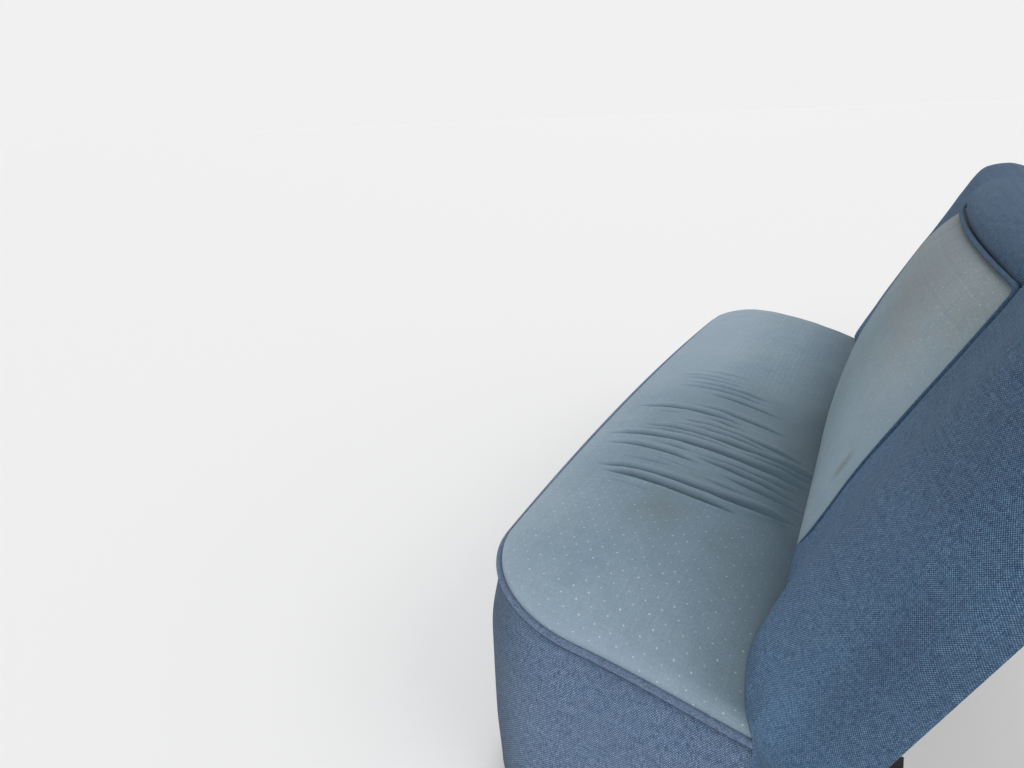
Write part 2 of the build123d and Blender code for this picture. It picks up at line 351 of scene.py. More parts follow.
# Gathers across the cushion, in mm: x and y of three points of the valley, its depth and its half width
GATHERS = (
    (392, -158, 405, -60, 410, 32, 3.0, 6.2),
    (370, -172, 379, -70, 377, 104, 3.8, 7.4),
    (346, -25, 347, 5, 350, 45, 1.2, 3.6),
    (335, -150, 337, -110, 339, -72, 1.0, 4.0),
    (322, -95, 326, -72, 329, -50, 1.0, 4.0),
    (319, 5, 325, 50, 337, 122, 1.8, 5.6),
    (283, -192, 292, -120, 303, -52, 3.0, 6.4),
    (289, -36, 294, 5, 312, 100, 2.4, 5.2),
    (275, -42, 279, 15, 288, 112, 1.5, 4.2),
    (264, -128, 268, -95, 273, -55, 1.0, 4.6),
    (240, -204, 243, -95, 263, 118, 3.6, 7.8),
    (229, 0, 231, 42, 239, 120, 1.6, 4.6),
    (212, -158, 218, -80, 226, -12, 1.6, 4.2),
    (194, -152, 203, -35, 218, 134, 2.9, 6.6),
    (174, -108, 179, -40, 189, 36, 2.8, 5.6),
    (150, -98, 160, -20, 184, 96, 2.6, 5.8),
    (124, -72, 129, -35, 136, -4, 1.2, 5.0),
    (127, -172, 124, -150, 121, -118, 0.8, 4.4),
    (102, -195, 103, -95, 113, -22, 2.8, 6.6),
    (76, -95, 85, -34, 101, 50, 2.1, 5.8),
    (12, -92, 20, -34, 35, 34, 1.6, 6.0),
    (-20, -160, -14, -80, 0, 2, 1.3, 5.4),
    (-43, -142, -33, -62, -23, 4, 1.8, 6.2),
    (-71, -164, -64, -95, -52, -43, 1.1, 5.4),
    (-91, -182, -86, -112, -77, -60, 1.1, 5.2),
    (-117, -138, -112, -95, -106, -48, 0.8, 5.6),
    (423, -142, 427, -105, 431, -70, 0.6, 4.4),
)


def gathers(x, y):
    """Height change, valleys darkened by soiling and painted shade, and ridges lightened by wear and painted
    highlight, from the table of gathers.
    """
    height_scale, ridge_place = 2.5, 1.7
    rise, soil_and_painted_shade, ridge_wear_and_painted_highlight = np.zeros_like(x), np.zeros_like(x), np.zeros_like(x)
    for row in GATHERS:
        x0, y0, x1, y1, x2, y2, depth, width = np.array(row) / 1000
        slope = (x1 - x0) / (y1 - y0)
        bend = ((x2 - x1) / (y2 - y1) - slope) / (y2 - y0)
        near = np.clip(y, y0 - 0.03, y2 + 0.03)
        line = x0 + slope * (near - y0) + bend * (near - y0) * (near - y1)
        reach = ease(y0 - 0.026, y0 + 0.045, y) * (1 - ease(y2 - 0.040, y2 + 0.024, y))
        across = (x - line) / (width * (0.45 + 0.55 * reach))
        valley = np.exp(-np.abs(across) ** 1.7)
        ridge = 0.5 * (np.exp(-(across - ridge_place) ** 2) + np.exp(-(across + ridge_place) ** 2))
        rise += height_scale * depth * reach * (ridge - valley)
        # Valleys darker: painted shade in the creases, and soiling.
        soil_and_painted_shade += depth / 0.0022 * reach * valley ** 1.6
        # Ridges lighter: painted highlight, and wear.
        ridge_wear_and_painted_highlight += depth / 0.0024 * reach * ridge
    return rise, soil_and_painted_shade, ridge_wear_and_painted_highlight


def cushion_pad():
    """Light cloth top over its padding, with its gathers, soiling, wear and fading, and with painted shade
    and painted light.
    """
    inset, thick, gathered = 0.0045, 0.0248, (-0.16, 0.44)
    columns = np.concatenate([clustered(-HALF, gathered[0], 0.011, 0.06, 0.0022)[:-1],
                              np.linspace(*gathered, 127)[:-1],
                              clustered(gathered[1], HALF, 0.010, 0.06, 0.0022)])
    columns = columns * (HALF - inset) / HALF
    rows = clustered(0.0, 1.0, 0.021, 0.12, 0.0042)
    x, y = plan_grid(columns, rows, inset)
    # The pressure lifts the top by about this much again
    lowered = 0.002 * np.minimum(edge_distance(x, y) / 0.05, 1)
    z = cushion_top(x, y) - lowered
    for edge in (np.s_[[0, -1]], np.s_[:, [0, -1]]):
        z[edge] = edge_z(x[edge], y[edge])
    top = upright(x, y, z)
    under = top[:, [-1, 0]].copy()
    under[..., 2] = welt_z(under[..., 1]) - thick
    sections = side_by_side(top, under)
    pad = loft("cushion_pad_cover", sections, reference=len(rows) // 2)
    inflate(pad, loose_points(sections, len(rows)), cap=0.012)
    subdivide(pad)

    x, y, z = points_of(pad).T
    upper = ease(0.006, 0.03, edge_distance(x, y)) * (z > edge_z(x, y))
    rise, soil_and_painted_shade, ridge_wear_and_painted_highlight = gathers(x, y)
    z += upper * (rise + 0.0014 * wobble(x, y, 0.31, 3) + 0.0005 * wobble(x, y, 0.08, 4))
    set_points(pad, upright(x, y, z))
    # Middle of the seat, where the dots wear thin; it is also darkened a little, partly soiling and partly
    # painted shade.
    worn = ease(-0.20, 0.08, x) * ease(0.48, 0.36, x) * ease(-0.24, -0.12, y)
    # Painted shade in front of the backrest and under it, darkest where it stands on the cushion.
    painted_shade_ahead_of_back = ease(-0.50, 0.05, x) * ease(0.66, 0.50, x) * ease(-0.20, 0.04, y)
    painted_back_shade = 0.18 * painted_shade_ahead_of_back + 0.14 * ease(-0.10, 0.05, y) + 0.68 * ease(0.0, 0.16, y)
    # Painted light on the front of the far half.
    far = ease(0.24, -0.10, x) * ease(-0.03, -0.13, y)
    # Lighter near the front and side edges: painted light, and fading.
    rim = np.exp(-edge_distance(x, y) / 0.045) * ease(0.1, 0.0, y)
    # Darker with soiling and painted shade, thinner dots where worn, lighter with painted light and some wear
    # and fading.
    mark(pad, "soil_and_painted_shade", upper * (np.clip(soil_and_painted_shade, 0, 1) + 0.22 * worn + painted_back_shade))
    mark(pad, "worn", upper * worn)
    mark(pad, "fading_and_painted_light", 0.8 * upper * ridge_wear_and_painted_highlight + np.maximum(rim, 0.9 * far))
    out_x, out_y = outward(edge_distance, x, y)
    drop = np.clip(edge_z(x, y) + 0.026 - z, 0, 0.06)
    turn = 0.09 * ease(0.25, 0.60, x)
    lay_cloth(pad, x + out_x * drop - turn * (y + 0.05), y + out_y * drop + turn * (x - 0.45))
    return pad


def mark(obj, name, values):
    """Stores a share at each point under a name, for the cloth's material: soiling and painted shade, wear,
    and painted light with some fading.
    """
    layer = obj.data.attributes.new(name, "FLOAT", "POINT")
    layer.data.foreach_set("value", np.asarray(np.clip(values, 0, 1), dtype=np.float32))


def outline_path(step, rear=False):
    """Points and outward normals along the plan outline, from the right rear corner to the left."""
    if rear:
        centre = HALF - REAR_RADIUS
        end = arc_points(centre, REAR_FACE, REAR_RADIUS, np.linspace(0, pi / 2, 12))
        flat = [(x, DEEP) for x in np.linspace(centre, -centre, int(2 * centre / step))[1:-1]]
    else:
        end = [(-HALF, y) for y in np.arange(REAR_FACE, CORNER_Y, -step)]
        corner = arc_points(-CORNER_X, CORNER_Y, FRONT_RADIUS, np.arange(pi, 1.5 * pi + 0.06, 0.05))
        end += [point for point in corner if point[0] < -BOW_END]
        flat = [(x, float(front_y(x))) for x in np.linspace(-BOW_END, BOW_END, int(2 * BOW_END / step))]
    points = np.array(end + flat + mirrored(end))
    ahead = unit(np.gradient(points, axis=0))
    return points, np.stack([ahead[:, 1], -ahead[:, 0]], axis=-1)


def wall(name, rear, bulge, step=0.009, thick=0.014):
    """Upright cover along the outline, from the floor to the welt, with its bulge as a function."""
    path, normals = outline_path(step, rear)
    shares = clustered(0.0, 1.0, 0.035, 0.12, 0.012)
    top = edge_z(*path.T) - 0.0035
    z = shares[None] * top[:, None]
    outer = bulge(*np.broadcast_arrays(travelled(path)[:, None], z, shares[None], path[:, None, 1]))
    few = shares[[-1, len(shares) // 2, 0]]
    inner_z = few[None] * top[:, None]
    offsets = side_by_side(outer, np.full(inner_z.shape, -thick))
    heights = side_by_side(z, inner_z)
    plan = path[:, None] + normals[:, None] * offsets[..., None]
    return loft(name, np.concatenate([plan, heights[..., None]], axis=-1))


def boxing_bulge(length, z, share, y):
    """How far the front and side cover stands outside the outline."""
    rear = ease(0.03, 0.12, y)
    full = 0.013 * ease(0.98, 0.72, share) * (1 - 0.25 * ease(0.3, 0.0, share)) * (1 - 0.9 * rear)
    full = full - 0.0015 * ease(0.96, 1.0, share)
    folds = 0.0012 * wobble(length, 0.25 * z, 0.11, 8) * ease(1.0, 0.85, share)
    return full + folds * (1 - rear)


def rear_bulge(length, z, share, _):
    """How far the rear facing sags outside the outline."""
    sag = 0.0012 * wobble(length, 0.5 * z, 0.2, 12) * np.sin(pi * share)
    return np.minimum(sag, 0.001)


def boxing_cover():
    """Tweed front and sides, with painted shade on the front and in the front corners, and a painted shadow
    under the piping.
    """
    cover = wall("cushion_boxing_cover", False, boxing_bulge)
    subdivide(cover)
    x, y, z = points_of(cover).T
    # Painted shade on the front and in the front corners, which face away from the light.
    front = 1 - ease(-0.27, -0.09, y)
    corner = np.exp(-((np.abs(x) - 0.68) / 0.10) ** 2) * ease(-0.12, -0.20, y)
    # Painted shadow under the piping.
    painted_piping_shadow = np.exp(-np.maximum(edge_z(x, y) - 0.006 - z, 0) / 0.004)
    mark(cover, "soil_and_painted_shade", 0.45 * front + 0.60 * corner + painted_piping_shadow)
    sharpen(cover)
    return cover


def rear_facing_cover():
    """Plain cloth on the hidden rear side."""
    cover = wall("cushion_rear_cover", True, rear_bulge, step=0.02)
    subdivide(cover)
    sharpen(cover)
    return cover


def cushion_piping():
    """Piping on the seam between the top and the boxing."""
    path, normals = outline_path(0.006)
    centre = path - 0.002 * normals
    heights = edge_z(*path.T) + 0.001
    return loft("cushion_piping", tube(np.column_stack([centre, heights]), radius=0.0047, sides=14))


# Backrest

def lean(x, v, n):
    """Place of a point given across, up and out of the backrest."""
    x, v, n = np.broadcast_arrays(x, v, n)
    return np.stack([x, FOOT[1] + v * UP[1] + n * OUT[1], FOOT[2] + v * UP[2] + n * OUT[2]], axis=-1)


def back_limits(x):
    """Lowest and highest V of the backrest's outline at x."""
    beyond = np.abs(x) - BACK_HALF
    return (BACK_LOW + LOW_RADIUS - arc(LOW_RADIUS, np.maximum(beyond + LOW_RADIUS, 0)),
            BACK_HIGH - HIGH_RADIUS + arc(HIGH_RADIUS, np.maximum(beyond + HIGH_RADIUS, 0)))


def back_edge_distance(x, v):
    """Distance inwards from the backrest's outline."""
    x = np.abs(x)
    near = np.minimum(np.minimum(BACK_HALF - x, v - BACK_LOW), BACK_HIGH - v)
    near = rounded(near, x, -v, BACK_HALF - LOW_RADIUS, -BACK_LOW - LOW_RADIUS, LOW_RADIUS)
    near = rounded(near, x, v, BACK_HALF - HIGH_RADIUS, BACK_HIGH - HIGH_RADIUS, HIGH_RADIUS)
    return np.maximum(near, 0)


def rolled(x, v, level):
    """Turns a level of the face back to the edge's level at the outline, over less of it at the top."""
    beside = np.minimum(BACK_HALF - np.abs(x), v - BACK_LOW)
    width = 0.09 - 0.04 * ease(-0.03, 0.03, beside - (BACK_HIGH - v))
    share = np.minimum(back_edge_distance(x, v) / width, 1)
    return EDGE_N + (level - EDGE_N) * np.sqrt(np.maximum(1 - (1 - share) ** 2, 0))


def seam_dip(distance, depth=0.006):
    """How far the cloth is drawn in at a distance from a seam."""
    width = 0.016
    return -depth * np.exp(-np.abs(distance / width) ** 1.5)


def foot_share(v):
    """From 1 where the backrest stands on the cushion to 0 above it."""
    return np.exp(-np.maximum(v - 0.015, 0) / 0.05)


def seam_base(v):
    """Level of the two upright seams, which lean back towards the top."""
    return -0.002 - 0.015 * ease(0.12, 0.48, v)


def insert_level(x, v):
    """Face of the light insert, pulled in at its lower edge and at its seams."""
    crest = 0.058
    across = np.minimum(np.abs(x / SEAM_X), 1)
    swell = np.sin(pi / 2 * np.clip((v - BACK_LOW) / 0.27, 0, 1)) ** 1.75
    shoulder = 0.75 + 0.25 * np.sin(pi / 2 * np.clip((SEAM_V - v) / 0.06, 0, 1))
    base = seam_base(v)
    foot = np.where(x > 0, 0.007, 0.002) * across ** 4 * foot_share(v)
    level = base + (crest - base) * (1 - across ** 2.2) * swell * shoulder + foot
    level = level + seam_dip(SEAM_X - np.abs(x)) * (1 - foot_share(v)) + seam_dip(SEAM_V - v)
    return rolled(x, v, level)


def wing_level(x, v):
    """Face of a wing, from its seam to its rolled end: fullest near that end and drawn back at its foot."""
    fullness, drawn_back = 0.020, 0.022
    off = np.abs(x) - 0.66
    level = seam_base(v) + fullness * np.exp(-(off / np.where(off < 0, 0.10, 0.06)) ** 2)
    level = level + 0.007 * (1 - ease(0.42, 0.56, np.abs(x))) * foot_share(v)
    level = level + seam_dip(np.abs(x) - SEAM_X) * (1 - foot_share(v))
    return rolled(x, v, level - drawn_back * ease(-0.005, -0.06, v))


def roll_level(x, v):
    """Face of the top roll, level with the wings at its ends."""
    side = 1 - np.minimum(np.abs(x / SEAM_X), 1) ** 2.2
    base = seam_base(v)
    level = base + side * (ROLL_CREST - base + 0.006 * np.sin(pi * np.clip((v - SEAM_V) / 0.06, 0, 1)))
    level = level + seam_dip(SEAM_X - np.abs(x), 0.004) + seam_dip(v - SEAM_V)
    return rolled(x, v, level)


def flared(x, v):
    """X moved outwards near the seams where they come down to the cushion."""
    off = np.abs(x)
    share = np.where(off < SEAM_X, off / SEAM_X, 1 - (off - SEAM_X) / 0.16)
    return x + np.sign(x) * 0.031 * np.maximum(share, 0) * (1 - ease(0.0, 0.16, v))


def on_cushion(x, n):
    """V of the cushion's top at x and N, with a small clearance, found by halving."""
    clear = 0.0015
    low, high = np.full_like(x, -0.15), np.full_like(x, 0.15)
    for _ in range(40):
        v = (low + high) / 2
        place = lean(x, v, n)
        inside = place[..., 2] < cushion_top(x, np.minimum(place[..., 1], DEEP)) + clear
        low, high = np.where(inside, v, low), np.where(inside, high, v)
    return high


def contact(x, level):
    """V where the face comes down on the cushion."""
    v = np.zeros_like(x)
    for _ in range(12):
        v = 0.5 * v + 0.5 * on_cushion(x, level(x, v))
    return v


def held(v, n):
    """Polylines with a point close to each side of every inner corner, which keeps it crisp when smoothed."""
    gap = 0.002
    line = np.stack([v, n], axis=-1)
    out = [line[:, :1]]
    for k in range(1, line.shape[1] - 1):
        for other in (k - 1, None, k + 1):
            point = line[:, k]
            if other is not None:
                way = line[:, other] - point
                size = np.linalg.norm(way, axis=1, keepdims=True)
                point = point + way * np.minimum(gap / np.maximum(size, 1e-9), 0.4)
            out.append(point[:, None])
    line = side_by_side(*out, line[:, -1:])
    return line[..., 0], line[..., 1]


def back_rear(x, top, low, kind):
    """Rear of a cover, from its top edge down to its bottom: round the frame's opening and into it."""
    half, frame_low, frame_high = OPENING
    opened = np.abs(x) < half
    deck = np.where(opened, DECK, REAR_N)
    spread = np.where(opened, 0, 0.006)
    rear = np.full_like(x, REAR_N)
    if kind == "insert":
        points = [(top, deck)]
    else:
        points = [(top, rear), (np.minimum(frame_high + spread, top - 0.002), rear),
                  (np.minimum(frame_high - spread, top - 0.004), deck)]
    if kind == "roll":
        points += [(low, deck)]
    else:
        points += [(frame_low + spread, deck), (frame_low - spread, rear), (low, rear)]
    return [np.stack([np.broadcast_to(p[axis], x.shape) for p in points], axis=1) for axis in (0, 1)]


def back_face(x, level, kind, low, high):
    """Rows of V and N over the face of a cover, finer towards its edges."""
    if kind == "roll":
        v = between(low, high, clustered(0, 1, 0.13, 0.4, 0.05))
    else:
        first, last, step = 0.055, 0.42, 0.011
        start = between(low, np.full_like(low, first), clustered(0, 1, 0.12, 0.4, 0.06))
        middle = np.linspace(first, last, int((last - first) / step) + 1)[1:-1]
        finish = between(np.full_like(low, last), high, clustered(0, 1, 0.10, 0.4, 0.035))
        v = side_by_side(start, np.repeat(middle[None], len(x), axis=0), finish)
    off = np.abs(x[:, None])
    n = level(x[:, None], v)
    n -= 0.003 * ease(0.0, 0.10, np.abs(off - SEAM_X)) * ease(0.01, 0.08, v)
    beyond_frame = np.maximum(off - OPENING[0], v - OPENING[2])
    return v, np.maximum(n, -0.026 - 1.2 * np.maximum(beyond_frame, 0))


def back_piece(name, x, level, kind, base, top):
    """Cover with its padding in columns at x: face, top edge, rear and underside."""
    low_edge, high_edge = back_limits(x)
    beyond = np.abs(x) > HALF + 0.004
    high = np.minimum(high_edge, top)
    low = np.full_like(x, base) if kind == "roll" else np.where(beyond, low_edge, contact(x, level))
    v, n = back_face(x, level, kind, low, high)
    rear_low = low if kind == "roll" else np.where(beyond, low, np.maximum(low, 0.030))
    rear_v, rear_n = back_rear(x, high, rear_low, kind)
    corner_v, corner_n = held(side_by_side(v[:, -1:], rear_v), side_by_side(n[:, -1:], rear_n))
    rows_v, rows_n = [v, corner_v[:, 1:]], [n, corner_n[:, 1:]]
    if kind != "roll":
        shares = np.linspace(0, 1, 9)[1:-1]
        under_n = between(np.full_like(low, REAR_N), n[:, 0], shares)
        under_v = on_cushion(np.repeat(x[:, None], len(shares), axis=1), under_n)
        under_v = np.maximum(under_v, low[:, None] - 0.06)
        under_v = np.where(beyond[:, None], between(rear_low, low, shares), under_v)
        rows_v.append(under_v)
        rows_n.append(under_n)
    v_all, n_all = side_by_side(*rows_v), side_by_side(*rows_n)
    sections = lean(flared(x[:, None], v_all), v_all, n_all)
    return loft(name, sections, reference=v.shape[1] // 2), loose_points(sections, v.shape[1])


def finish_cover(obj, loose, seed):
    """Fills out, smooths and ripples a cover, marks its painted shade, scuffs and painted light, and lays its
    cloth.
    """
    inflate(obj, loose, cap=0.006)
    subdivide(obj)
    points = points_of(obj)
    x, v, n = points[:, 0], (points - FOOT) @ UP, (points - FOOT) @ OUT
    off = np.abs(x)
    side = off - flared(SEAM_X, v)
    seam = np.minimum(np.abs(side), np.abs(v - SEAM_V) + (side > 0))
    ripple = 0.0010 * wobble(x, v, 0.24, seed) + 0.0004 * wobble(x, v, 0.07, seed + 1)
    face = ease(-0.05, -0.02, n) * ease(0.0, 0.03, v) * ease(0.004, 0.02, seam)
    set_points(obj, points + np.outer(ripple * face, OUT))

    # Painted shade at the foot, where the cover stands on the cushion.
    low = np.exp(-np.maximum(v - 0.01, 0) / 0.02) * (off < HALF)
    # Painted shade over the middle of the insert.
    painted_middle_shade = ease(0.32, 0.10, off) * ease(0.02, 0.14, v)
    # Darker outer ends low down: painted shade, and scuffs where they rub.
    scuffs_and_painted_end_shade = ease(0.72, 0.76, off) * ease(-0.01, -0.055, n) * ease(0.35, 0.15, v)
    painted_shade_and_scuffs = 0.38 * painted_middle_shade * (v < SEAM_V) + 0.65 * scuffs_and_painted_end_shade
    # Painted shade along the seams and at the foot.
    mark(obj, "soil_and_painted_shade", 0.5 * np.exp(-seam / 0.007) + 0.4 * low + painted_shade_and_scuffs)
    # Painted light towards the outer seams, shown only by the insert's cloth.
    mark(obj, "fading_and_painted_light", 0.7 * ease(0.14, 0.34, off) * ease(0.42, 0.24, v))

    out_x, out_v = outward(back_edge_distance, x, v)
    over_top, least = SEAM_V + 0.03, -0.004
    crest = np.where((v > over_top) | (n < -0.03), roll_level(x, over_top), least)
    drop = np.maximum(np.maximum(crest, least) - n, 0)
    lay_cloth(obj, x + out_x * drop, v + out_v * drop)
    sharpen(obj, angle=60)
    return obj


def back_covers():
    """Insert, top roll and both wings."""
    gap, half, side = 0.0003, OPENING[0], HALF + 0.0035
    middle = np.concatenate([[-SEAM_X + gap], clustered(-SEAM_X + 0.002, SEAM_X - 0.002, 0.012, 0.05, 0.004),
                             [SEAM_X - gap]])
    wing = np.concatenate([[SEAM_X + gap], clustered(SEAM_X + 0.002, half - 0.002, 0.012, 0.05, 0.004),
                           [half - 0.0004, half + 0.0004, half + 0.002, side, side + 0.002],
                           clustered(side + 0.004, BACK_HALF, 0.006, 0.02, 0.0012)])
    pieces = []
    for name, columns, level, kind, base, top, seed in (
            ("back_insert_cover", middle, insert_level, "insert", None, SEAM_V - gap, 21),
            ("back_roll_cover", middle, roll_level, "roll", SEAM_V + gap, BACK_HIGH, 23),
            ("back_wing_left_cover", wing, wing_level, "wing", None, BACK_HIGH, 25),
            ("back_wing_right_cover", -wing[::-1], wing_level, "wing", None, BACK_HIGH, 27)):
        obj, loose = back_piece(name, columns, level, kind, base, top)
        pieces.append(finish_cover(obj, loose, seed))
    return pieces


def back_piping():
    """Piping up one seam of the insert, across its top and down the other, its ends tucked in below."""
    corner, step, below_seam = 0.012, 0.012, 0.0020
    bottom = float(contact(np.array([SEAM_X]), insert_level)[0])
    tucked = ((0.0075, -0.020), (0.0060, -0.012), (0.0060, -0.004), (0.0100, 0.0005))
    rise = [(SEAM_X, bottom + up, sunk) for up, sunk in tucked]
    rise += [(SEAM_X, v, seam_base(v) - below_seam + 0.005 * foot_share(v))
             for v in np.arange(bottom + 0.02, SEAM_V - corner, step)]
    turn = arc_points(SEAM_X - corner, SEAM_V - corner, corner, np.linspace(0, pi / 2, 6))
    level = [(x, SEAM_V) for x in np.arange(SEAM_X - corner - 0.01, 0, -step)]
    half = rise
    for x, v in turn + level:
        base = seam_base(v)
        swell = (1 - (x / SEAM_X) ** 2.2) * ease(SEAM_V - 0.05, SEAM_V, v)
        half.append((x, v, base - below_seam + (ROLL_CREST - base) * swell))
    x, v, n = np.array(half + mirrored(half)).T
    return loft("back_piping", tube(lean(flared(x, v), v, n), radius=0.0036, sides=14))


# Springs and wires

WIRE = 0.002
BORDER_INSET = 0.0423                # border wire of the cushion inside the plan outline
BORDER_DEPTH = 0.030                 # the same wire below the welt's seam
BACK_WIRE_N = -0.035
CUSHION_COLUMNS = np.linspace(-0.58, 0.58, 9)
CUSHION_ROWS = (-0.15, 0.0, 0.15)
BACK_COLUMNS = np.linspace(-0.575, 0.575, 8)
BACK_ROWS = (0.115, 0.255, 0.395)
CUSHION_RADII = (0.044, 0.030, 0.048)     # of a coil at its foot, waist and head
BACK_RADII = (0.040, 0.029, 0.042)
CUSHION_FOOT = 0.0078                # lowest turn of the cushion's coils
CUSHION_HEAD = 0.0346                # their highest turn below the welt's seam
BACK_FOOT = -0.1062                  # the same turns of the backrest's coils, in N
BACK_HEAD = -0.0396


def coil(x, y, base, top, turns, radii):
    """Centre line of a waisted coil with flat end turns, up to a top that is a function of y."""
    share = np.linspace(0, 1, int(turns * 18) + 1)
    angle = 2 * pi * turns * share
    end = np.where(share < 0.5, radii[0], radii[2])
    radius = radii[1] + (end - radii[1]) * (2 * share - 1) ** 2
    flat = 0.75 / turns
    rising = np.clip((share - flat) / (1 - 2 * flat), 0, 1)
    climb = 0.35 * ease(0, 1, rising) + 0.65 * rising
    px, py = x + radius * np.cos(angle), y + radius * np.sin(angle)
    return px, py, base + (top(py) - base) * climb


def springs():
    """Coils of the cushion and of the backrest."""
    # Each bed's name, columns, rows and frame, and the foot, top, turns and radii of its coils
    beds = (("cushion_coils", CUSHION_COLUMNS, CUSHION_ROWS, upright,
             (CUSHION_FOOT, lambda y: welt_z(y) - CUSHION_HEAD, 3.5, CUSHION_RADII)),
            ("back_coils", BACK_COLUMNS, BACK_ROWS, lean,
             (BACK_FOOT, lambda v: 0 * v + BACK_HEAD, 2.5, BACK_RADII)))
    return [joined(name, [tube(place(*coil(x, y, *form)), WIRE, 6) for x in columns for y in rows])
            for name, columns, rows, place, form in beds]


def rounded_loop(half, low, high, radius):
    """Closed rounded rectangle as a path of (x, v)."""
    path = []
    low, high, half = low + radius, high - radius, half - radius
    for quarter, (x, v) in enumerate(((half, high), (-half, high), (-half, low), (half, low))):
        path += arc_points(x, v, radius, quarter * pi / 2 + np.linspace(0, pi / 2, 7))
    return np.array(path)


def border_paths():
    """Centre lines of the border wires of the cushion and of the backrest."""
    front, front_normals = outline_path(0.02)
    rear, rear_normals = outline_path(0.03, rear=True)
    plan = np.concatenate([front - BORDER_INSET * front_normals, (rear - BORDER_INSET * rear_normals)[1:-1]])
    half, low, high = OPENING
    inside = 0.028
    x, v = rounded_loop(half - inside, low + inside, high - inside, 0.012).T
    return np.column_stack([plan, welt_z(plan[:, 1]) - BORDER_DEPTH]), lean(x, v, BACK_WIRE_N)


def border_wires():
    """Border wires of the cushion and of the backrest."""
    return [loft(name, tube(path, WIRE, closed=True), closed=True)
            for name, path in zip(("cushion_border_rod", "back_border_rod"), border_paths())]


def tie_rods():
    """Wires across each row of coils, from one side of the border wire to the other."""
    cushion = []
    inset = BORDER_INSET + 2 * WIRE
    for y in CUSHION_ROWS:
        end = HALF - inset
        if y < CORNER_Y:
            end = CORNER_X + ((FRONT_RADIUS - inset) ** 2 - (y - CORNER_Y) ** 2) ** 0.5
        cushion.append(tube([(x, y, welt_z(y) - BORDER_DEPTH) for x in np.linspace(-end, end, 12)], WIRE))
    inside_frame = 0.030
    end = OPENING[0] - inside_frame
    back = [tube(lean(np.linspace(-end, end, 12), v, BACK_WIRE_N), WIRE) for v in BACK_ROWS]
    return joined("cushion_tie_rods", cushion), joined("back_tie_rods", back)


def thin_sheet(name, x, y, place):
    """Closed thin cloth over a grid of x and y, put in place by a function of x, y and its level."""
    thick = 0.0014
    front = place(x, y, 0.5 * thick)
    back = place(x[:, ::-1], y[:, ::-1], -0.5 * thick)
    sheet = loft(name, side_by_side(front, back))
    lay_cloth(sheet, *(side_by_side(axis, axis[:, ::-1]).ravel() for axis in (x, y)))
    return sheet


def pressed(x, y, columns, rows, radius):
    """From 0 to 1 where the coils press sacking up."""
    total = np.zeros_like(x)
    for column in columns:
        for row in rows:
            total = np.maximum(total, ease(radius + 0.03, radius, np.hypot(x - column, y - row)))
    return total


def sacking_sheets():
    """Sacking between the springs and the padding, on the border and tie wires."""
    below_welt, back_n = 0.0265, -0.0318

    def on_springs(x, y, level):
        lift = 0.0005 * pressed(x, y, CUSHION_COLUMNS, CUSHION_ROWS, 0.05) + 0.0002 * wobble(x, y, 0.06, 31)
        return upright(x, y, welt_z(y) - below_welt + lift + level)

    def on_back(x, v, level):
        lift = 0.0003 * pressed(x, v, BACK_COLUMNS, BACK_ROWS, 0.045) + 0.0002 * wobble(x, v, 0.06, 33)
        return lean(x, v, back_n + lift + level)

    inset, gap = 0.0155, 0.001
    columns = clustered(-HALF + inset, HALF - inset, 0.016, 0.05, 0.006)
    cushion = thin_sheet("cushion_sacking", *plan_grid(columns, np.linspace(0, 1, 33), inset), on_springs)
    half, bottom, top = OPENING
    columns = clustered(-half + gap, half - gap, 0.020, 0.06, 0.010)
    cut_corner = 0.035 * ease(half - 0.05, half, np.abs(columns))
    v = bottom + gap + (top - bottom - 2 * gap - cut_corner[:, None]) * np.linspace(0, 1, 28)
    back = thin_sheet("back_sacking", np.repeat(columns[:, None], v.shape[1], axis=1), v, on_back)
    return cushion, back


def open_ring(centre, ahead):
    """Clenched wire ring round a wire that runs ahead."""
    radius, thick, pitch, flattened = 0.0052, 0.0009, 0.00035, 0.8
    ahead = unit(ahead)
    side = unit(np.cross(ahead, [0.3, 0.2, 1.0]))
    angles = np.linspace(-0.15, 2 * pi + 0.1, 15)
    ring = np.outer(np.cos(angles), side) * flattened + np.outer(np.sin(angles), np.cross(ahead, side))
    return tube(centre + radius * ring + np.outer(angles * pitch, ahead), thick, 5)


def rings_along(path, gap):
    """Open rings along a closed path at about a gap."""
    ends = np.roll(path, -1, axis=0)
    spans = np.linalg.norm(ends - path, axis=1)
    count = max(int(spans.sum() / gap), 1)
    travelled = np.r_[0, np.cumsum(spans)]
    rings = []
    for length in (np.arange(count) + 0.5) * spans.sum() / count:
        k = int(np.searchsorted(travelled, length)) - 1
        share = (length - travelled[k]) / spans[k]
        rings.append(open_ring(path[k] + (ends[k] - path[k]) * share, ends[k] - path[k]))
    return rings


def spring_clips(columns, rows, radius, base, place):
    """Strap tabs that hold the lowest turn of each coil down on its slat, on both sides of the coil."""
    half_width = 0.005
    over = [(0.0026, 0.0047), (0.0032, 0.0008), (0.0065, 0.0008), (0.0065, 0.0)]
    under = [(0.0024, 0.0), (0.0020, 0.0040)]
    across, up = np.array(mirrored(over) + over + under + mirrored(under)).T
    clips = []
    for column in columns:
        for row in rows:
            for side in (-radius, radius):
                clips.append(np.array([place(np.full(len(up), column + end), row + side + across, base + up)
                                       for end in (-half_width, half_width)]))
    return clips


def fixings():
    """Clenched rings on the border wires, and the tabs on the slats."""
    cushion_border, back_border = border_paths()
    cushion_slats, back_slats = 0.0056, -0.1084
    cushion = rings_along(cushion_border, gap=0.11)
    cushion += spring_clips(CUSHION_COLUMNS, CUSHION_ROWS, CUSHION_RADII[0], cushion_slats, upright)
    back = rings_along(back_border, gap=0.12)
    back += spring_clips(BACK_COLUMNS, BACK_ROWS, BACK_RADII[0], back_slats, lean)
    return joined("cushion_fixings", cushion), joined("back_fixings", back)


# Materials

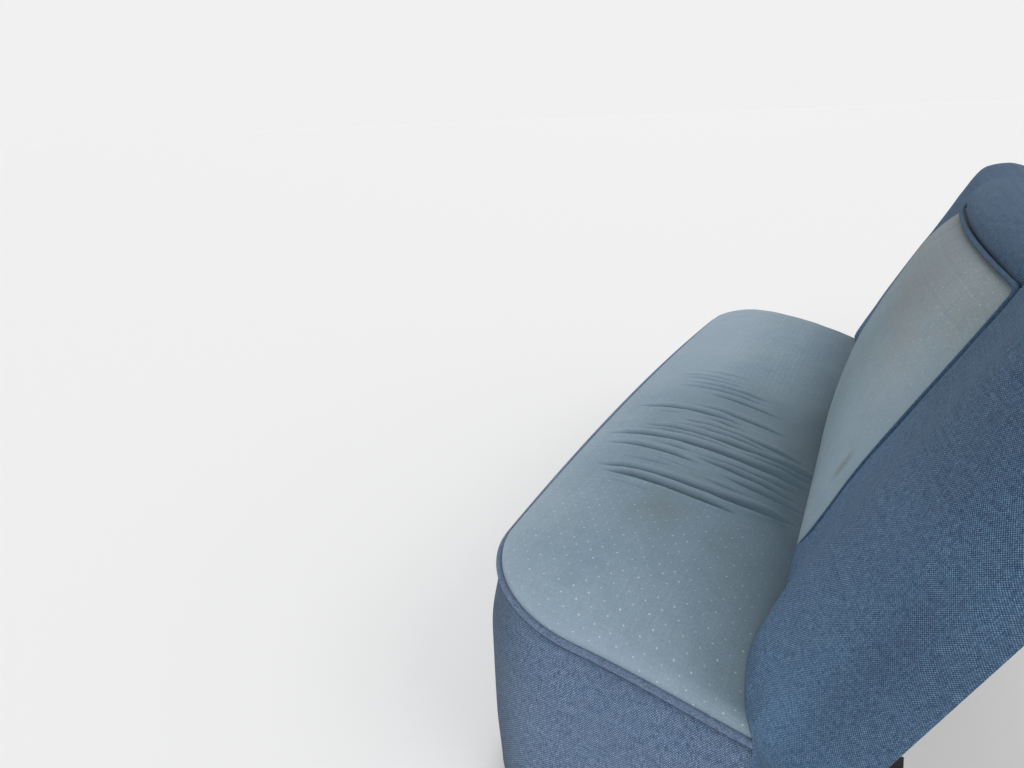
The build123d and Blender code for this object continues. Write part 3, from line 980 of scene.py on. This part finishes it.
class Nodes:
    """Short names for building a tree of nodes."""

    def __init__(self, tree):
        self.tree = tree

    def put(self, socket, value):
        if isinstance(value, bpy.types.NodeSocket):
            self.tree.links.new(value, socket)
        else:
            socket.default_value = value

    def add(self, kind, inputs, output=0, **settings):
        """An output of a new node with its inputs put in."""
        node = self.tree.nodes.new("ShaderNode" + kind)
        for key, value in settings.items():
            setattr(node, key, value)
        for key, value in inputs.items():
            self.put(node.inputs[key], value)
        return node.outputs[output]

    def math(self, operation, a, b=0.0, c=0.0):
        return self.add("Math", {0: a, 1: b, 2: c}, operation=operation)

    plus = partialmethod(math, "ADD")
    minus = partialmethod(math, "SUBTRACT")
    times = partialmethod(math, "MULTIPLY")
    scaled = partialmethod(math, "MULTIPLY_ADD")

    def position(self):
        return self.add("NewGeometry", {}, "Position")

    def joined(self, x, y, z):
        return self.add("CombineXYZ", {0: x, 1: y, 2: z})

    def part(self, vector, axis):
        return self.add("SeparateXYZ", {0: vector}, axis)

    def noise(self, where, scale, detail=3.0, roughness=0.55):
        inputs = {"Vector": where, "Scale": scale, "Detail": detail, "Roughness": roughness}
        return self.add("TexNoise", inputs, "Fac")

    def random(self, a, b, offset=0.0):
        return self.add("TexWhiteNoise", {"Vector": self.joined(a, b, offset)}, "Value")

    def ramp(self, value, low, high, start=0.0, end=1.0):
        inputs = {"Value": value, "From Min": low, "From Max": high, "To Min": start, "To Max": end}
        return self.add("MapRange", inputs, interpolation_type="SMOOTHSTEP")

    def mix(self, share, first, second, blend="MIX"):
        return self.add("Mix", {0: share, 6: first, 7: second}, 2, data_type="RGBA", blend_type=blend)

    def shaded(self, colour, shade):
        grey = self.add("CombineColor", {0: shade, 1: shade, 2: shade})
        return self.mix(1.0, colour, grey, "MULTIPLY")

    def marked(self, name, share):
        """Share of the mark that a mesh carries under a name."""
        return self.times(self.add("Attribute", {}, "Fac", attribute_name=name), share)


class Shader(Nodes):
    """A new material, with settings of its base surface by name."""

    def __init__(self, name, roughness, **settings):
        self.material = bpy.data.materials.new(name)
        self.material.use_nodes = True
        super().__init__(self.material.node_tree)
        self.base = self.tree.nodes["Principled BSDF"].inputs
        self.base["Roughness"].default_value = roughness
        for key, value in settings.items():
            self.base[key.replace("_", " ")].default_value = value

    def finish(self, colour, bump=None, roughness=None):
        """The material with its colour, and its bump as height, strength and distance."""
        self.put(self.base["Base Color"], colour)
        if bump is not None:
            inputs = dict(zip(("Height", "Strength", "Distance"), bump))
            self.put(self.base["Normal"], self.add("Bump", inputs))
        if roughness is not None:
            self.put(self.base["Roughness"], roughness)
        return self.material


def rgb(*levels):
    """Linear colour from sRGB levels out of 255."""
    shares = [level / 255 for level in levels]
    return (*(((share + 0.055) / 1.055) ** 2.4 for share in shares), 1.0)


def cloth_axes(s, wander, scale):
    """UV of the cloth in metres, and its U and V with a slight wander of the threads."""
    uv = s.add("UVMap", {}, uv_map="cloth")
    drift = s.add("TexNoise", {"Vector": uv, "Scale": scale, "Detail": 1.0}, "Color")
    u, v = (s.scaled(s.minus(s.part(drift, i), 0.5), wander, s.part(uv, i)) for i in (0, 1))
    return uv, u, v


def weave(s, u, v, pitch_u, pitch_v):
    """Plain weave: height of the thread on top, whether it is the warp, random values of it and its place."""
    a, b = s.math("DIVIDE", u, pitch_u), s.math("DIVIDE", v, pitch_v)
    column, row = s.math("FLOOR", a), s.math("FLOOR", b)
    fa, fb = s.minus(s.math("FRACT", a), 0.5), s.minus(s.math("FRACT", b), 0.5)
    over = s.math("FLOORED_MODULO", s.plus(column, row), 2.0)
    across = s.add("Mix", {0: over, 2: fb, 3: fa})
    along = s.add("Mix", {0: over, 2: fa, 3: fb})
    height = s.times(s.minus(1.0, s.times(s.times(across, across), 3.4)),
                     s.minus(1.0, s.times(s.times(along, along), 2.2)))
    thread = s.add("Mix", {0: over, 2: s.random(row, 0.0, 1.0), 3: s.random(column, 0.0, 2.0)})
    return height, over, thread, s.random(column, row, 3.0)


def dot_grid(s, uv, u, v):
    """Half-drop grid of small ragged dots, 1 on a dot and 0 between."""
    pitch_u, pitch_v = 0.027, 0.021
    distances = []
    for half in (0.0, 0.5):
        a, b = (s.times(s.minus(s.math("FRACT", s.plus(s.math("DIVIDE", axis, pitch), half)), 0.5), pitch)
                for axis, pitch in ((u, pitch_u), (v, pitch_v)))
        distances.append(s.math("SQRT", s.plus(s.times(a, a), s.times(b, b))))
    ragged = s.scaled(s.noise(uv, 900.0, 1.0), 0.0012, s.math("MINIMUM", *distances))
    return s.ramp(ragged, 0.0013, 0.0021, 1.0, 0.0)


def light_cloth(name, plain, fading_and_painted_light, climb, dots, stains):
    """Fine cloth with a half-drop grid of pale dots, turning towards its sun-bleached colour at a climb per
    metre above half a metre.
    Stains are given by their place, reach along each axis and strength."""
    s = Shader(name, 0.92, Sheen_Weight=0.12, Sheen_Roughness=0.4, Specular_IOR_Level=0.2)
    uv, u, v = cloth_axes(s, 0.005, 4.0)
    height, _, thread, crossing = weave(s, u, v, 0.0011, 0.0009)
    position = s.position()
    broad = s.scaled(s.minus(s.part(position, 2), 0.5), climb, s.noise(position, 3.2, 3.0))
    colour = s.mix(s.ramp(broad, 0.3, 0.7), plain, fading_and_painted_light)
    colour = s.mix(s.ramp(s.noise(position, 34.0, 4.0), 0.35, 0.75, 0.0, 0.30), colour, rgb(112, 134, 145))
    shade = s.scaled(thread, 0.14, s.scaled(crossing, 0.14, 0.86))
    colour = s.shaded(colour, s.times(shade, s.ramp(s.noise(uv, 430.0, 2.0), 0.3, 0.7, 0.92, 1.08)))
    dot = dot_grid(s, uv, u, v)
    sewn = s.ramp(s.noise(uv, 60.0, 2.0), 0.33, 0.67, 0.25 * dots, 1.1 * dots)
    sewn = s.times(sewn, s.minus(1.0, s.marked("worn", 0.72)))
    colour = s.mix(s.times(dot, sewn), colour, rgb(206, 216, 220))
    # Lighter where marked: painted light, with some fading and wear.
    colour = s.mix(s.marked("fading_and_painted_light", 0.45), colour, rgb(163, 178, 193))
    for place, reach, strength in stains:
        offset = s.add("VectorMath", {0: position, 1: place}, operation="SUBTRACT")
        offset = s.add("VectorMath", {0: offset, 1: reach}, operation="DIVIDE")
        far = s.add("VectorMath", {0: offset}, "Value", operation="LENGTH")
        far = s.scaled(s.noise(position, 22.0, 4.0), 0.9, far)
        colour = s.mix(s.ramp(far, 0.35, 1.6, strength, 0.0), colour, rgb(106, 110, 96))
    # Darker where marked: soiling and painted shade.
    colour = s.mix(s.marked("soil_and_painted_shade", 0.85), colour, rgb(62, 80, 90))
    return s.finish(colour, (s.scaled(dot, 0.8, height), 0.35, 0.0004))


def tweed(name, tint, pitch=0.0015, bias=False, shaded_top=False):
    """Hopsack of light and dark blue slubbed yarns, at 45 degrees on the bias, or with painted light low down
    and painted shade towards the top.
    """
    s = Shader(name, 0.95, Sheen_Weight=0.06, Sheen_Roughness=0.5, Specular_IOR_Level=0.15)
    uv, u, v = cloth_axes(s, 0.006, 7.0)
    if bias:
        u, v = s.plus(u, v), s.minus(u, v)
    height, over, thread, crossing = weave(s, u, v, pitch, pitch * 0.92)
    yarns = []
    for own, scale_u, scale_v, dark, light in (
            (thread, 90.0, 620.0, rgb(34, 54, 82), rgb(96, 120, 150)),
            (crossing, 620.0, 90.0, rgb(76, 101, 132), rgb(164, 184, 204))):
        slubs = s.noise(s.joined(s.times(u, scale_u), s.times(v, scale_v), 0.0), 1.0, 2.0, 0.6)
        share = s.scaled(own, 0.45, s.times(s.ramp(slubs, 0.30, 0.70), 0.55))
        yarns.append(s.mix(share, dark, light))
    fuzz = s.noise(uv, 1500.0, 2.0)
    position = s.position()
    shade = s.scaled(s.ramp(height, 0.0, 0.9), 0.46, 0.62)
    shade = s.times(shade, s.ramp(fuzz, 0.2, 0.8, 0.86, 1.12))
    shade = s.times(shade, s.ramp(s.noise(position, 4.0, 3.0), 0.3, 0.7, 0.94, 1.06))
    # Painted light low down and painted shade towards the top.
    if shaded_top:
        shade = s.times(shade, s.ramp(s.part(position, 2), 0.28, 0.64, 1.22, 0.78))
    colour = s.mix(1.0, s.shaded(s.mix(over, *yarns), shade), (*tint, 1.0), "MULTIPLY")
    # Darker where marked: painted shade, and some soiling.
    colour = s.mix(s.marked("soil_and_painted_shade", 0.55), colour, rgb(36, 50, 68))
    return s.finish(colour, (s.scaled(fuzz, 0.35, height), 0.7, 0.0007))


def plain_cloth(s, colours, pitches, wander, crossed, dark, patches, relief):
    """Plain woven cotton or jute, dark between its threads and in patches of a scale and shade."""
    uv, u, v = cloth_axes(s, *wander)
    height, _, thread, crossing = weave(s, u, v, *pitches)
    share = s.scaled(crossing, crossed, s.times(thread, 1 - crossed))
    patchy = s.ramp(s.noise(uv, patches[0], 3.0), 0.3, 0.7, patches[1], 1.1)
    shade = s.times(s.ramp(height, 0.0, 0.9, dark, 1.05), patchy)
    return s.finish(s.shaded(s.mix(share, *colours), shade), (height, *relief))


def enamel(name):
    """Black stove enamel with dust and a little rust at chips."""
    s = Shader(name, 0.4)
    position = s.position()
    dust = s.ramp(s.noise(position, 14.0, 5.0), 0.35, 0.8, 0.0, 0.5)
    chips = s.ramp(s.noise(position, 130.0, 3.0, 0.7), 0.66, 0.72)
    colour = s.mix(chips, s.mix(dust, rgb(36, 36, 38), rgb(72, 68, 62)), rgb(96, 58, 36))
    ripple = s.noise(position, 260.0, 2.0)
    return s.finish(colour, (s.minus(ripple, chips), 0.25, 0.0004), s.scaled(dust, 0.7, 0.36))


def wire_steel(name):
    """Oiled spring wire, browned in patches."""
    s = Shader(name, 0.42, Metallic=0.85)
    position = s.position()
    patch = s.ramp(s.noise(position, 26.0, 5.0, 0.65), 0.45, 0.68)
    colour = s.mix(patch, rgb(132, 130, 126), rgb(98, 66, 44))
    return s.finish(colour, (s.noise(position, 420.0, 3.0), 0.3, 0.0003), s.scaled(patch, 0.35, 0.36))


cloth = light_cloth("dotted_cloth", rgb(124, 147, 163), rgb(138, 158, 170), 0.0, 0.85,
                    (((0.474, -0.052, 0.34), (0.095, 0.065, 0.2), 0.34),
                     ((0.497, 0.045, 0.33), (0.050, 0.035, 0.2), 0.14)))
back_cloth = light_cloth("faded_dotted_cloth", rgb(131, 157, 171), rgb(135, 144, 146), 1.0, 0.42,
                         (((0.348, 0.172, 0.402), (0.011, 0.020, 0.045), 0.55),))
# The backrest's tweed and piping are darker copies of the cloth, painted shade; the cushion's piping is a
# lighter copy, painted light on its crest.
tweed_cloth = tweed("blue_tweed", (0.88, 0.92, 0.97), 0.0018)
back_tweed_painted_shade = tweed("back_tweed_painted_shade", (0.59, 0.76, 0.86), shaded_top=True)
piping_cloth = tweed("bias_tweed", (1.12, 1.10, 1.14), 0.0011, bias=True)
back_piping_cloth = tweed("back_bias_tweed", (0.42, 0.57, 0.68), 0.0011, bias=True)
facing_cloth = plain_cloth(
    Shader("black_cotton", 0.9, Sheen_Weight=0.08, Sheen_Roughness=0.5, Specular_IOR_Level=0.2),
    (rgb(34, 36, 42), rgb(54, 57, 64)), pitches=(0.0016, 0.0016), wander=(0.0024, 30.0),
    crossed=0.4, dark=0.6, patches=(12.0, 0.88), relief=(0.6, 0.0004))
jute = plain_cloth(
    Shader("jute_sacking", 0.95, Specular_IOR_Level=0.15),
    (rgb(134, 114, 84), rgb(182, 161, 128)), pitches=(0.0024, 0.0027), wander=(0.006, 5.0),
    crossed=0.35, dark=0.3, patches=(9.0, 0.82), relief=(0.8, 0.001))
black_enamel = enamel("black_enamel")
spring_wire = wire_steel("spring_wire")


def place_piece(obj, node, material):
    """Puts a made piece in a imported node's place."""
    obj.data.materials.clear()
    obj.data.materials.append(material)
    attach(obj, "root")
    if node:
        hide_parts(node)


place_piece(cushion_pad(), "cushion_pad", cloth)
place_piece(boxing_cover(), "cushion_boxing", tweed_cloth)
place_piece(rear_facing_cover(), "cushion_rear_facing", facing_cloth)
place_piece(cushion_piping(), "cushion_welt", piping_cloth)
insert, roll, wing_left, wing_right = back_covers()
place_piece(insert, "back_insert", back_cloth)
for cover, node in ((roll, "back_top_roll"), (wing_left, "back_wing_left"), (wing_right, "back_wing_right")):
    place_piece(cover, node, back_tweed_painted_shade)
place_piece(back_piping(), "back_welt", back_piping_cloth)
wires = [*springs(), *border_wires(), *tie_rods(), *fixings()]
wire_nodes = ("cushion_coil_springs", "back_coil_springs", "cushion_border_wire", "back_border_wire",
              "cushion_tie_wires", "back_tie_wires", None, None)
for obj, node in zip(wires, wire_nodes):
    place_piece(obj, node, spring_wire)
cushion_sacking, back_sacking = sacking_sheets()
place_piece(cushion_sacking, "cushion_hessian", jute)
place_piece(back_sacking, "back_hessian", jute)

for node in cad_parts.values():
    if node.material_slots:
        for place in node.material_slots:
            place.material = black_enamel
    else:
        node.data.materials.append(black_enamel)


# Floor, light and camera

def studio():
    """Pale floor and white surroundings under soft, even light."""
    reach, below, grey = 60, 0.0006, (0.905, 0.905, 0.905, 1.0)
    corners = [(x * reach, y * reach, -below) for x, y in ((-1, -1), (1, -1), (1, 1), (-1, 1))]
    floor = new_object("floor", corners, [(0, 1, 2, 3)])
    floor.data.materials.append(Shader("studio_floor", 0.95, Specular_IOR_Level=0.1).finish(grey))
    scene.world = bpy.data.worlds.new("studio")
    scene.world.use_nodes = True
    sky = Nodes(scene.world.node_tree)
    seen = sky.math("MAXIMUM", *(sky.add("LightPath", {}, ray) for ray in ("Is Camera Ray", "Is Glossy Ray")))
    background = sky.tree.nodes["Background"].inputs
    background["Color"].default_value = (1, 1, 1, 1)
    sky.put(background["Strength"], sky.add("MapRange", {"Value": seen, "To Min": 0.43, "To Max": 0.876}))
    # Each light's name, the way to it, its angle in degrees and its strength
    for name, direction, angle, power in (("door", (1.0, 0.15, 0.66), 30, 1.50),
                                          ("far_window", (-1.0, -0.25, 0.75), 30, 0.80),
                                          ("front", (0.1, -1.0, 0.7), 50, 0.20),
                                          ("rear", (0.2, 1.0, 0.8), 40, 0.40)):
        data = bpy.data.lights.new(name, "SUN")
        data.energy = power
        data.angle = radians(angle)
        add_object(name, data).rotation_euler = Vector(direction).to_track_quat("Z", "Y").to_euler()


def photo_camera():
    """Camera in the photograph's place, with its sensor and lens in mm and its turns in degrees."""
    place, tilt, heading, roll = (1.4056, 0.2245, 0.8916), 19.953, 118.472, -2.711
    camera = bpy.data.cameras.new("camera")
    camera.sensor_width = 36
    camera.lens = 26.72
    scene.camera = add_object("camera", camera)
    aimed = Euler((radians(90 - tilt), 0, radians(heading))).to_matrix()
    turned = aimed @ Euler((0, 0, radians(roll))).to_matrix()
    scene.camera.matrix_world = Matrix.Translation(place) @ turned.to_4x4()


studio()
photo_camera()
scene.view_settings.view_transform = "Standard"
